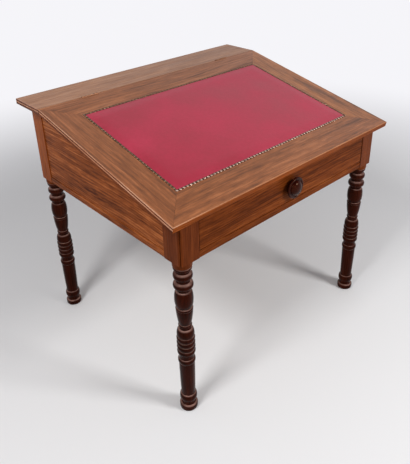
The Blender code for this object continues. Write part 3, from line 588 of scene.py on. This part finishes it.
def quirk_ends(piece, slope):
    """Run a quirk along the left and right ends of a board, with a rubbed pale lip that carries a painted
    highlight, and the dark finish of the ends below it.
    """
    upright = Vector((0.0, -math.sin(slope), math.cos(slope)))
    surface = Vector((0.0, FOLD_Y, SHELF_TOP))
    cut = bmesh.new()
    cut.from_mesh(piece.data)
    for depth in QUIRK_LINES:
        cut.normal_update()
        ends = {}
        for face in cut.faces:
            if abs(face.normal.x) > FACING:
                ends.update(dict.fromkeys((face, *face.edges, *face.verts)))
        bmesh.ops.bisect_plane(cut, geom=list(ends), plane_co=surface - upright * depth, plane_no=upright)
    spines = []
    for edge in cut.edges:
        depths = [(surface - vert.co).dot(upright) for vert in edge.verts]
        if edge.calc_length() > LONG_EDGE and max(abs(depth - QUIRK_LINES[1]) for depth in depths) < WELD:
            spines.append(edge)
    for face in cut.faces:
        low = (surface - face.calc_center_median()).dot(upright) > QUIRK_LINES[1]
        if low and abs(face.normal.x) > FACING:
            face.material_index = END_SLOT
    for spine in spines:
        middle = (spine.verts[0].co + spine.verts[1].co) / 2
        deep = {}
        for vert in spine.verts:
            inward = (middle - vert.co).normalized() * QUIRK_IN * END_QUIRK_STOP
            inward.x -= math.copysign(QUIRK_IN, vert.co.x)
            deep[vert] = cut.verts.new(vert.co + inward)
        walls = sorted(spine.link_faces, key=lambda face: face.calc_center_median().dot(upright))
        # The lower wall of the quirk takes the pale arris finish, a painted highlight on the lip
        for wall, slot in zip(walls, (ARRIS_SLOT, END_SLOT)):
            cut.faces.new([deep.get(vert, vert) for vert in wall.verts]).material_index = slot
            for edge in wall.edges:
                shared = [vert for vert in edge.verts if vert in deep]
                if len(shared) == 1:
                    cut.faces.new((*edge.verts, deep[shared[0]])).material_index = slot
        bmesh.ops.delete(cut, geom=walls, context="FACES_ONLY")
        cut.edges.remove(spine)
    cut.normal_update()
    bmesh.ops.recalc_face_normals(cut, faces=cut.faces)
    cut.to_mesh(piece.data)
    cut.free()
    piece.data.set_sharp_from_angle(angle=FLAT_ANGLE)


SHELF_TONES = ((0.205, 0.0830, 0.0340), (0.272, 0.1130, 0.0470),
               (0.322, 0.1380, 0.0590), (0.385, 0.1740, 0.0800))
# Pale arris tones: partly rubbed wear, partly a painted highlight along the rounded edges and the lips of
# the quirks
ARRIS_TONES = ((0.220, 0.0760, 0.0320), (0.350, 0.1400, 0.0660),
               (0.430, 0.1900, 0.1000), (0.540, 0.2800, 0.1700))
EDGE_TONES = ((0.035, 0.0100, 0.0048), (0.075, 0.0210, 0.0090),
              (0.110, 0.031, 0.0130), (0.160, 0.048, 0.0200))
shelf_wood = polished_wood("worn_shelf", SHELF_TONES, "x", polish=(0.32, 0.46), gleam=0.24, tint=WAX,
                           flecked=0.25)
top_arris = polished_wood("rubbed_and_highlit_top_arris", ARRIS_TONES, "x", polish=(0.22, 0.34), gleam=0.3, tint=WAX,
                          flecked=0.2)
edge_wood = polished_wood("dark_board_end", EDGE_TONES, "y", polish=(0.34, 0.48), gleam=0.05)

shelf = planed("rear_shelf", "shelf_board", rubbed_round, ARRIS_SLOT)
darken_ends(shelf)
quirk_ends(shelf, 0.0)
fit(shelf, "rear_shelf", "case", "top_wood", shelf_wood, top_arris, edge_wood)


# Lid frame
# Four walnut boards make the frame of the lid, mitred at the corners, with the grain along each board. The
# outer arrises are rounded by use and pale, with wear and a painted highlight that is strongest at the left
# of the front. The front edge is golden, with painted shade towards the right, the quirked ends are a darker
# copy, a painted shade, the right board is a paler copy, and the rear board carries the hinges. A plain core
# board under the leather is glued in between them.
NOSE_SLOT = 3
CORE_EASE = 0.0004
LID_TONES = ((0.090, 0.0270, 0.0080), (0.188, 0.0582, 0.0165),
             (0.256, 0.0820, 0.0248), (0.355, 0.1230, 0.0430))
# A paler copy of the lid tones for the right board
PALER_LID_TONES = ((0.114, 0.0360, 0.0100), (0.240, 0.0780, 0.0205),
               (0.326, 0.1100, 0.0308), (0.452, 0.1650, 0.0535))
# Pale tones of the front arris: rubbed wear and a painted highlight, fading towards the right
PALE_TONES = ((0.350, 0.1400, 0.0620), (0.385, 0.1600, 0.0740),
              (0.430, 0.1900, 0.0960), (0.520, 0.2700, 0.1600))
# Darker copy of the lid wood on the quirked ends, a painted shade
SHADED_LID_END_TONES = ((0.055, 0.0130, 0.0042), (0.108, 0.0250, 0.0072),
                 (0.150, 0.0360, 0.0104), (0.205, 0.0540, 0.0170))
# Golden front face of the lid, with painted shade towards the right
LID_NOSE_TONES = ((0.175, 0.0375, 0.0048), (0.250, 0.0550, 0.0068),
                  (0.330, 0.0745, 0.0098), (0.420, 0.1050, 0.0170))
front_arris = polished_wood("rubbed_and_highlit_front_arris", PALE_TONES, "x", polish=(0.22, 0.34), gleam=0.10, tint=WAX,
                            flecked=0.2, worn_and_lit_from_left=(-0.50, 0.90))
end_arris = polished_wood("rubbed_and_highlit_end_arris", ARRIS_TONES, "y", tilt=LID_SLOPE, polish=(0.26, 0.38),
                          gleam=0.2, tint=WAX, flecked=0.2)
shaded_lid_end_wood = polished_wood("shaded_red_brown_lid_end", SHADED_LID_END_TONES, "y", polish=(0.34, 0.48), gleam=0.04)
lid_nose_wood = polished_wood("golden_lid_nose", LID_NOSE_TONES, "x", polish=(0.28, 0.40), gleam=0.03,
                              flecked=0.2, worn_and_lit_from_left=(-0.45, 0.55))
lid_polish = {"tilt": LID_SLOPE, "polish": (0.32, 0.46), "gleam": 0.68, "tint": WAX, "flecked": 0.42,
              "start": 0.37}
lid_rail_wood = polished_wood("worn_lid_across", LID_TONES, "x", **lid_polish)
lid_stile_wood = polished_wood("worn_lid_along", LID_TONES, "y", **lid_polish)
paler_stile_wood = polished_wood("paler_lid_along", PALER_LID_TONES, "y", **lid_polish)

for place, wood, arris in (
    ("front", lid_rail_wood, front_arris),
    ("rear", lid_rail_wood, top_arris),
    ("left", lid_stile_wood, end_arris),
    ("right", paler_stile_wood, end_arris),
):
    member = planed(f"lid_frame_{place}", f"lid_board_{place}", rubbed_round, ARRIS_SLOT)
    # The ends take the darker finish, a painted shade, and the front face takes the golden finish
    darken_ends(member)
    for face in member.data.polygons:
        if face.normal.y < -FACING and face.center.y < LID_FRONT:
            face.material_index = NOSE_SLOT
    if place in ("left", "right"):
        quirk_ends(member, LID_SLOPE)
    fit(member, f"lid_frame_{place}", "lid", "top_wood", wood, arris, shaded_lid_end_wood, lid_nose_wood)
core = planed("lid_panel", "lid_core", lambda spot: CORE_EASE)
fit(core, "lid_panel", "lid", "box_wood", plain_x)


# Leather
# One skin of crimson leather is glued on the core of the lid, over a thin padding that falls away to its
# edges. It has a fine grain and soft clouds in its dye, and its edges are pressed down under the nails.
LEATHER_HALF = 0.3866
LEATHER_NEAR = -0.54824
LEATHER_FAR = -0.09322
LEATHER_TOP = 0.0004
LEATHER_THICKNESS = 0.0016
LEATHER_EDGE_DROP = 0.0003
LEATHER_COLUMNS = 96
LEATHER_ROWS = 57
PAD_HEIGHT = 0.0016
PAD_EDGE = 0.042
RIPPLE = 0.00012
RIPPLE_LENGTH = 0.06
lid_plane = Matrix.Translation((0.0, FOLD_Y, SHELF_TOP)) @ Matrix.Rotation(LID_SLOPE, 4, "X")


def leather_height(x, y):
    """Height of the skin over the lid's plane: a thin padding that falls away to a pressed edge."""
    inset = min(LEATHER_HALF - abs(x), y - LEATHER_NEAR, LEATHER_FAR - y)
    if inset < WELD:
        return LEATHER_TOP - LEATHER_EDGE_DROP
    share = min(inset / PAD_EDGE, 1.0)
    return LEATHER_TOP + PAD_HEIGHT * share * share * (3 - 2 * share)


skin = bmesh.new()
grid = []
for row in range(LEATHER_ROWS + 1):
    line = []
    for column in range(LEATHER_COLUMNS + 1):
        x = -LEATHER_HALF + 2 * LEATHER_HALF * column / LEATHER_COLUMNS
        y = LEATHER_NEAR + (LEATHER_FAR - LEATHER_NEAR) * row / LEATHER_ROWS
        wave = noise.noise(Vector((x / RIPPLE_LENGTH, y / RIPPLE_LENGTH, 0.0))) * RIPPLE
        line.append(skin.verts.new(lid_plane @ Vector((x, y, leather_height(x, y) + wave))))
    grid.append(line)
for near_line, far_line in zip(grid, grid[1:]):
    for column in range(LEATHER_COLUMNS):
        skin.faces.new((near_line[column], near_line[column + 1], far_line[column + 1], far_line[column]))
rim = grid[0] + [line[-1] for line in grid[1:-1]] + grid[-1][::-1] + [line[0] for line in grid[-2:0:-1]]
through = lid_plane.to_3x3() @ Vector((0.0, 0.0, LEATHER_THICKNESS))
under_rim = [skin.verts.new(vert.co - through) for vert in rim]
for index in range(len(rim)):
    after = (index + 1) % len(rim)
    skin.faces.new((rim[index], under_rim[index], under_rim[after], rim[after]))
skin.faces.new(under_rim)
leather = shown("crimson_leather", skin)

# Marks in the leather: so many to the metre, detail
DYE_CLOUDS = (6.0, 4.0)
DYE_MOTTLE = (90.0, 3.0)
PEBBLES = 900.0
DYE_CLOUD_SHARE = 0.7
DYE_MOTTLE_SHARE = 0.3
DYE_SPAN = (0.36, 0.64)
PEBBLE_SPAN = (0.0, 0.6)
PEBBLE_SHADES = (1.05, 0.90)
SHEEN_SPAN = (0.35, 0.65)
SHEEN = (0.38, 0.48)
LEATHER_GLEAM = 0.95
PEBBLE_RELIEF = -0.7
MOTTLE_RELIEF = 0.5
LEATHER_RELIEF = 0.30
LEATHER_RELIEF_DEPTH = 0.0004
CRIMSON_TONES = ((0.336, 0.0028, 0.0255), (0.384, 0.0044, 0.0340), (0.428, 0.0078, 0.0435))


def dyed_leather(name, tones):
    """Dyed leather with pebbled grain, cloudy dye and a dull wax sheen."""
    material, tree, shader = new_finish(name)
    seat = put(tree, "ShaderNodeTexCoord").outputs["Object"]
    clouds = clouded(tree, seat, *DYE_CLOUDS)
    mottle = clouded(tree, seat, *DYE_MOTTLE)
    spread = {"Vector": seat, "Scale": PEBBLES}
    pebbles = put(tree, "ShaderNodeTexVoronoi", spread, feature="SMOOTH_F1").outputs["Distance"]
    dye = sums(tree, (clouds, DYE_CLOUD_SHARE), (mottle, DYE_MOTTLE_SHARE))
    colour = ramped(tree, ranged(tree, dye, *DYE_SPAN, 0.0, 1.0), tones)
    shade = ranged(tree, pebbles, *PEBBLE_SPAN, *PEBBLE_SHADES)
    tree.links.new(blended(tree, 1.0, colour, shade, "MULTIPLY"), shader.inputs["Base Color"])
    tree.links.new(ranged(tree, clouds, *SHEEN_SPAN, *SHEEN), shader.inputs["Roughness"])
    shader.inputs["Specular IOR Level"].default_value = LEATHER_GLEAM
    height = sums(tree, (pebbles, PEBBLE_RELIEF), (mottle, MOTTLE_RELIEF))
    raise_relief(tree, shader, LEATHER_RELIEF, LEATHER_RELIEF_DEPTH, height)
    return material


fit(leather, "leather_panel", "lid", "crimson_leather", dyed_leather("crimson_skin", CRIMSON_TONES))


# Nails
# A close row of small brass dome heads is driven along the edge of the leather, on a thin dark band that
# stands for patina and painted shade between the heads. The front row is rubbed bright, with a painted pink
# highlight, and the other rows are dull and darker, a painted shade.
NAIL_PITCH = 0.0125
NAIL_RADIUS = 0.0037
NAIL_HEIGHT = 0.0026
NAIL_LIP = 0.0005
NAIL_INSET = 0.0032
NAIL_SIDES = 14
NAIL_STEPS = 5
NAIL_SEED = 7
NAIL_STRAY = 0.00020
FRONT_ROW = 0
BRIGHT_SLOT = 0
DULL_SLOT = 1
BAND_SLOT = 2
BAND_HALF = 0.0034
BAND_TOP = 0.0009


def nail_corners(reach):
    """Corners of a line round the leather, a reach outside the middles of the nails."""
    half = LEATHER_HALF - NAIL_INSET + reach
    near = LEATHER_NEAR + NAIL_INSET - reach
    far = LEATHER_FAR - NAIL_INSET + reach
    return ((-half, near), (half, near), (half, far), (-half, far))


def nail_spots():
    """Middles of the nails along the four edges, in the lid's plane, with the row that each belongs to."""
    corners = nail_corners(0.0)
    spots = []
    for row, start in enumerate(corners):
        end = corners[(row + 1) % len(corners)]
        count = round(math.dist(start, end) / NAIL_PITCH)
        for index in range(count):
            share = index / count
            x = start[0] + (end[0] - start[0]) * share
            y = start[1] + (end[1] - start[1]) * share
            spots.append((x, y, row))
    return spots


stray = random.Random(NAIL_SEED)
dome = [(0.0, 0.0), (NAIL_RADIUS, 0.0), (NAIL_RADIUS, NAIL_LIP)]
for step in range(1, NAIL_STEPS):
    angle = math.pi / 2 * step / NAIL_STEPS
    dome.append((NAIL_RADIUS * math.cos(angle), NAIL_LIP + (NAIL_HEIGHT - NAIL_LIP) * math.sin(angle)))
dome.append((0.0, NAIL_HEIGHT))
heads = bmesh.new()
head_slots = []
for x, y, row in nail_spots():
    strayed_x = x + stray.uniform(-NAIL_STRAY, NAIL_STRAY)
    strayed_y = y + stray.uniform(-NAIL_STRAY, NAIL_STRAY)
    before = len(heads.faces)
    lathe(heads, dome, NAIL_SIDES, (strayed_x, strayed_y, 0.0))
    head_slots += [BRIGHT_SLOT if row == FRONT_ROW else DULL_SLOT] * (len(heads.faces) - before)
loops = []
for reach, height in ((-BAND_HALF, 0.0), (BAND_HALF, 0.0), (BAND_HALF, BAND_TOP), (-BAND_HALF, BAND_TOP)):
    loops.append([heads.verts.new((x, y, height)) for x, y in nail_corners(reach)])
for index, loop in enumerate(loops):
    beside = loops[(index + 1) % len(loops)]
    for corner in range(len(loop)):
        after = (corner + 1) % len(loop)
        heads.faces.new((loop[corner], loop[after], beside[after], beside[corner]))
bmesh.ops.transform(heads, matrix=lid_plane, verts=heads.verts)
nails = shown("dome_nails", heads)
for face in nails.data.polygons:
    face.material_index = BAND_SLOT
for face, slot in zip(nails.data.polygons, head_slots):
    face.material_index = slot

# Marks in the brass: so many to the metre, detail
STAIN = (160.0, 4.0)
FINE_CAST = (1500.0, 2.0)
STAIN_SPAN = (0.38, 0.62)
GLOSS_SPAN = (0.35, 0.65)
BRASS_RELIEF = 0.12
BRASS_RELIEF_DEPTH = 0.0002


def old_brass(name, bright, dull, gloss):
    """Cast brass with a brown tarnish that is rubbed off in places."""
    material, tree, shader = new_finish(name)
    seat = put(tree, "ShaderNodeTexCoord").outputs["Object"]
    stain = clouded(tree, seat, *STAIN)
    colour = ramped(tree, ranged(tree, stain, *STAIN_SPAN, 0.0, 1.0), (dull, bright))
    tree.links.new(colour, shader.inputs["Base Color"])
    tree.links.new(ranged(tree, stain, *GLOSS_SPAN, gloss[1], gloss[0]), shader.inputs["Roughness"])
    shader.inputs["Metallic"].default_value = 1.0
    raise_relief(tree, shader, BRASS_RELIEF, BRASS_RELIEF_DEPTH, clouded(tree, seat, *FINE_CAST))
    return material


# Front row: rubbed brass with a painted pink highlight; other rows: a darker copy, painted shade; band:
# patina and painted shade
rubbed_and_highlit_brass = old_brass("rubbed_and_highlit_brass", bright=(0.58, 0.42, 0.34), dull=(0.42, 0.29, 0.23),
                         gloss=(0.36, 0.46))
dull_and_shaded_brass = old_brass("dull_and_shaded_brass", bright=(0.280, 0.185, 0.115), dull=(0.165, 0.105, 0.066),
                       gloss=(0.34, 0.48))
band_patina_and_shade_brass = old_brass("patina_and_shade_band_brass", bright=(0.215, 0.118, 0.080), dull=(0.130, 0.072, 0.048),
                       gloss=(0.50, 0.62))
fit(nails, "leather_nails", "lid", "old_brass", rubbed_and_highlit_brass, dull_and_shaded_brass, band_patina_and_shade_brass)


# Hinges
# Two small brass butt hinges join the lid to the shelf along the fold: a leaf let into each board, a pin
# through the knuckles and two screws in each leaf. They keep the shape of the frame and are dark with age.
hinge_brass = old_brass("dark_hinge_brass", bright=(0.36, 0.185, 0.110), dull=(0.27, 0.132, 0.078),
                        gloss=(0.44, 0.60))

for node, cad_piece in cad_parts.items():
    if node.startswith("hinge_"):
        cad_piece.data.materials.clear()
        cad_piece.data.materials.append(hinge_brass)


# Drawer
# The drawer front is one board of figured walnut between the posts. Plain thinner boards make the sides and
# the back, and a bottom board is pushed into grooves in the sides.
DRAWER_EASE = 0.0020
BOX_EASE = 0.0008
drawer_face = planed("drawer_front", "drawer_face", lambda spot: DRAWER_EASE)
fit(drawer_face, "drawer_front", "drawer", "case_wood", front_wood)

for part, wood in (("side_left", plain_y), ("side_right", plain_y), ("back", plain_x), ("bottom", plain_x)):
    board = planed(f"drawer_{part}", f"drawer_board_{part.removeprefix('side_')}", lambda spot: BOX_EASE)
    fit(board, f"drawer_{part}", "drawer", "box_wood", wood)


# Knob
# The knob is turned from near black wood: a foot and a neck behind a wide dished rim, and a round boss in
# the middle of the dish. Its spigot is glued into a hole in the drawer front.
KNOB_SIDES = 72
KNOB_PLACE = (0.0, -0.3665, 0.6302)

# Profile from the back to the front: radius, reach in front of the drawer
KNOB_FOOT = ((0.0, 0.0003), (0.0180, 0.0003), (0.0188, 0.0008), (0.0190, 0.0016), (0.0186, 0.0026),
             (0.0176, 0.0033))
KNOB_NECK = ((0.0156, 0.0050), (0.0143, 0.0066), (0.0136, 0.0082), (0.0136, 0.0096), (0.0142, 0.0109))
KNOB_BACK = ((0.0200, 0.0111), (0.0290, 0.0112))
KNOB_DISH = ((0.0298, 0.0194), (0.0291, 0.0190), (0.0285, 0.0182), (0.0278, 0.0175), (0.0268, 0.0171),
             (0.0256, 0.0170), (0.0248, 0.0171))
RIM_MIDDLE = (0.0308, 0.01535)
RIM_HALF = (0.0042, 0.00415)
BOSS_RADIUS = 0.0245
BOSS_LOW = 0.0174
BOSS_HEIGHT = 0.0146

knob_profile = [*KNOB_FOOT, *KNOB_NECK, *KNOB_BACK]
for step in range(CURVE_STEPS + 1):
    angle = math.pi * step / CURVE_STEPS
    radius = RIM_MIDDLE[0] + RIM_HALF[0] * math.sin(angle)
    knob_profile.append((radius, RIM_MIDDLE[1] - RIM_HALF[1] * math.cos(angle)))
knob_profile += KNOB_DISH
for step in range(CURVE_STEPS):
    angle = math.pi / 2 * step / CURVE_STEPS
    knob_profile.append((BOSS_RADIUS * math.cos(angle), BOSS_LOW + BOSS_HEIGHT * math.sin(angle)))
knob_profile.append((0.0, BOSS_LOW + BOSS_HEIGHT))
turned = bmesh.new()
lathe(turned, knob_profile, KNOB_SIDES, (0.0, 0.0, 0.0))
to_drawer = Matrix.Translation(KNOB_PLACE) @ Matrix.Rotation(math.pi / 2, 4, "X")
bmesh.ops.transform(turned, matrix=to_drawer, verts=turned.verts)
knob = shown("turned_knob", turned)
KNOB_TONES = ((0.010, 0.0009, 0.0005), (0.019, 0.0018, 0.0009),
              (0.028, 0.0030, 0.0014), (0.044, 0.0064, 0.0028))
knob_wood = polished_wood("black_brown_knob", KNOB_TONES, "y", polish=(0.05, 0.08), gleam=0.13)
fit(knob, "drawer_knob", "drawer", "knob_wood", knob_wood)


# Studio
# A plain pale floor fades into a white backdrop. Two soft lamps stand at the left and in front, and the
# camera has the angle of the photograph.
FLOOR_HALF = 20.0
FLOOR_GAP = 0.0004
FLOOR_TONE = (0.80, 0.797, 0.80)
FLOOR_DULLNESS = 0.75
WHITE = (0.955, 0.950, 0.985)
WHITE_LEVEL = 0.96
WHITE_FROM = 1.2
WHITE_TO = 3.0
FILL_LIGHT = 0.36
OVERHEAD_SPAN = (0.54, 0.69)
OVERHEAD_LEVEL = 0.20
LAMP_SIZE = 0.70
LAMP_TARGET = (0.0, 0.0, 0.6)


def seen(tree):
    """One for rays that show the backdrop, straight or in a gloss, and none for rays that carry light."""
    path = put(tree, "ShaderNodeLightPath").outputs
    kinds = ("Is Camera Ray", "Is Glossy Ray", "Is Transmission Ray")
    rays = sums(tree, *((path[kind], 1.0) for kind in kinds))
    return ranged(tree, rays, 0.0, 1.0, 0.0, 1.0)


ground = bmesh.new()
bmesh.ops.create_grid(ground, x_segments=1, y_segments=1, size=FLOOR_HALF)
floor = shown("floor", ground)
floor.location.z = -FLOOR_GAP
pale, pale_tree, pale_shader = new_finish("pale_floor")
pale_shader.inputs["Base Color"].default_value = (*FLOOR_TONE, 1.0)
pale_shader.inputs["Roughness"].default_value = FLOOR_DULLNESS
floor.data.materials.append(pale)
floor_seat = put(pale_tree, "ShaderNodeTexCoord").outputs["Object"]
reach = put(pale_tree, "ShaderNodeVectorMath", {0: floor_seat}, operation="LENGTH").outputs["Value"]
fade_span = {"Value": reach, "From Min": WHITE_FROM, "From Max": WHITE_TO}
fade = put(pale_tree, "ShaderNodeMapRange", fade_span, interpolation_type="SMOOTHSTEP").outputs[0]
far_away = times(pale_tree, fade, seen(pale_tree))
glow = put(pale_tree, "ShaderNodeEmission", {"Color": (*WHITE, 1.0), "Strength": WHITE_LEVEL}).outputs[0]
layers = {0: far_away, 1: pale_shader.outputs[0], 2: glow}
both = put(pale_tree, "ShaderNodeMixShader", layers).outputs[0]
pale_tree.links.new(both, pale_tree.nodes["Material Output"].inputs["Surface"])

world = bpy.data.worlds.new("studio")
bpy.context.scene.world = world
world.use_nodes = True
sky = world.node_tree
background = sky.nodes["Background"].inputs
background["Color"].default_value = (*WHITE, 1.0)
outlook = put(sky, "ShaderNodeTexCoord").outputs["Generated"]
upward = put(sky, "ShaderNodeSeparateXYZ", {0: outlook}).outputs["Z"]
backdrop = ranged(sky, upward, *OVERHEAD_SPAN, WHITE_LEVEL, OVERHEAD_LEVEL)
level = put(sky, "ShaderNodeMix", {0: seen(sky), 2: FILL_LIGHT, 3: backdrop}).outputs[0]
sky.links.new(level, background["Strength"])

for name, place, power in (("left_lamp", (-2.0, -0.5, 2.6), 42.0), ("front_lamp", (0.8, -2.4, 2.2), 52.0)):
    lamp = bpy.data.lights.new(name, "AREA")
    lamp.shape = "SQUARE"
    lamp.size = LAMP_SIZE
    lamp.energy = power
    holder = bpy.data.objects.new(name, lamp)
    bpy.context.scene.collection.objects.link(holder)
    holder.location = place
    towards = Vector(LAMP_TARGET) - Vector(place)
    holder.rotation_euler = towards.to_track_quat("-Z", "Y").to_euler()

CAMERA_PLACE = (-1.18357, -1.27927, 1.4306)
CAMERA_YAW = math.radians(42.2346)
CAMERA_PITCH = math.radians(26.8719)
CAMERA_ROLL = math.radians(-1.3985)
CAMERA_LENS = 42.5586
CAMERA_SENSOR = 36.0
CAMERA_SHIFT = -0.1293
camera_data = bpy.data.cameras.new("photo_camera")
camera_data.lens = CAMERA_LENS
camera_data.sensor_width = CAMERA_SENSOR
camera_data.shift_y = CAMERA_SHIFT
camera = bpy.data.objects.new("photo_camera", camera_data)
bpy.context.scene.collection.objects.link(camera)
level_ahead = Vector((math.sin(CAMERA_YAW), math.cos(CAMERA_YAW), 0.0))
level_right = Vector((math.cos(CAMERA_YAW), -math.sin(CAMERA_YAW), 0.0))
ahead = level_ahead * math.cos(CAMERA_PITCH) - Vector((0.0, 0.0, math.sin(CAMERA_PITCH)))
level_up = level_right.cross(ahead)
right = level_right * math.cos(CAMERA_ROLL) + level_up * math.sin(CAMERA_ROLL)
up = level_up * math.cos(CAMERA_ROLL) - level_right * math.sin(CAMERA_ROLL)
turn = Matrix((right, up, -ahead)).transposed().to_4x4()
camera.matrix_world = Matrix.Translation(CAMERA_PLACE) @ turn
bpy.context.scene.camera = camera
bpy.context.scene.view_settings.view_transform = "Standard"
